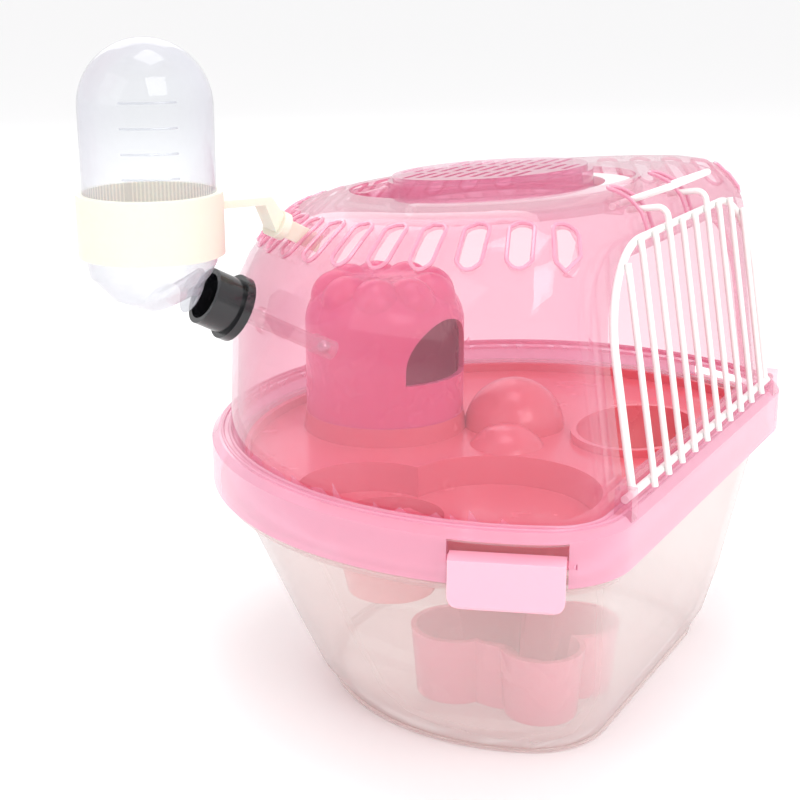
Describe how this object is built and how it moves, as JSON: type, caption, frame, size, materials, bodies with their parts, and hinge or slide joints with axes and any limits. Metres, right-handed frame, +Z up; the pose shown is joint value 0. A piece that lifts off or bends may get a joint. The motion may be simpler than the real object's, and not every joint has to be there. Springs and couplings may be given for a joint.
{
  "type": "hamster cage",
  "caption": "Hand-carried hamster cage: tinted dome on a frosted tub, wire front door, deck, play house, bowl, roof vent, folding handle and side-hung water bottle.",
  "frame": {"origin": "middle of the flat underside of the base tub", "axes": "+Z up, the wire door faces -Y, +X to the right of someone behind the cage looking at the door from inside; the bottle hangs at -X +Y"},
  "size_m": [0.2295, 0.1634, 0.207],
  "materials": {
    "frosted_clear": "frosted translucent polypropylene, satin",
    "coral": "glossy opaque coral moulding",
    "magenta": "glossy slightly translucent magenta pink",
    "bowl_pink": "glossy opaque pink",
    "dome_pink": "clear pink tinted polystyrene, high gloss",
    "latch_pink": "glossy opaque pink",
    "lid_pink": "clear pink tinted polystyrene, high gloss",
    "handle_white": "glossy white moulding",
    "white_wire": "white dip-coated steel wire",
    "bottle_clear": "clear blown plastic",
    "seal_grey": "soft washer",
    "cap_black": "glossy black",
    "spout_clear": "clear tube",
    "ball_steel": "polished steel",
    "band_ivory": "glossy ivory moulding"
  },
  "bodies": {
    "base": {"base_tub": "frosted_clear", "upper_deck": "coral", "play_house": "magenta", "floor_bowl": "bowl_pink"},
    "dome": {"dome_cover": "dome_pink"},
    "left_latch": {"left_latch": "latch_pink"},
    "right_latch": {"right_latch": "latch_pink"},
    "lid": {"vent_lid": "lid_pink"},
    "handle": {"carry_handle": "handle_white"},
    "door": {"door_arch_wire": "white_wire", "door_hinge_wire": "white_wire", "door_bars": "white_wire", "door_hook_bars": "white_wire"},
    "finger_latch": {"door_latch_wire": "white_wire"},
    "spout_unit": {"bottle_cap": "cap_black", "bottle_seal": "seal_grey", "spout_tube": "spout_clear"},
    "ball": {"spout_ball": "ball_steel"},
    "bottle": {"bottle_body": "bottle_clear", "bottle_band": "band_ivory"}
  },
  "joints": [
    {"name": "dome_lift", "type": "slide", "parent": "base", "child": "dome", "axis": [0, 0, 1], "range_m": [0, 0.15]},
    {"name": "door_hinge", "type": "hinge", "parent": "dome", "child": "door", "pos_m": [0, -0.0786, 0.0882], "axis": [1, 0, 0], "range_deg": [0, 105]},
    {"name": "finger_latch_lift", "type": "hinge", "parent": "dome", "child": "finger_latch", "pos_m": [0, -0.0545, 0.1582], "axis": [-1, 0, 0], "range_deg": [0, 25]},
    {"name": "handle_swing", "type": "hinge", "parent": "dome", "child": "handle", "pos_m": [0, 0.00207, 0.15482], "axis": [-1, 0, 0], "range_deg": [0, 95]},
    {"name": "lid_hinge", "type": "hinge", "parent": "dome", "child": "lid", "pos_m": [0, 0.03397, 0.15228], "axis": [-1, 0, 0], "range_deg": [0, 100]},
    {"name": "left_latch_hinge", "type": "hinge", "parent": "dome", "child": "left_latch", "pos_m": [-0.09359, -0.05606, 0.075], "axis": [-0.342, 0.9397, 0], "range_deg": [0, 95]},
    {"name": "right_latch_hinge", "type": "hinge", "parent": "dome", "child": "right_latch", "pos_m": [0.09359, -0.05606, 0.075], "axis": [-0.342, -0.9397, 0], "range_deg": [0, 95]},
    {"name": "bottle_pull", "type": "slide", "parent": "dome", "child": "spout_unit", "axis": [-0.743, 0.4771, 0.4695], "range_m": [0, 0.06]},
    {"name": "bottle_unscrew", "type": "slide", "parent": "spout_unit", "child": "bottle", "axis": [-0.743, 0.4771, 0.4695], "range_m": [0, 0.012]},
    {"name": "ball_push", "type": "slide", "parent": "spout_unit", "child": "ball", "axis": [-0.743, 0.4771, 0.4695], "range_m": [0, 0.0008]}
  ]
}
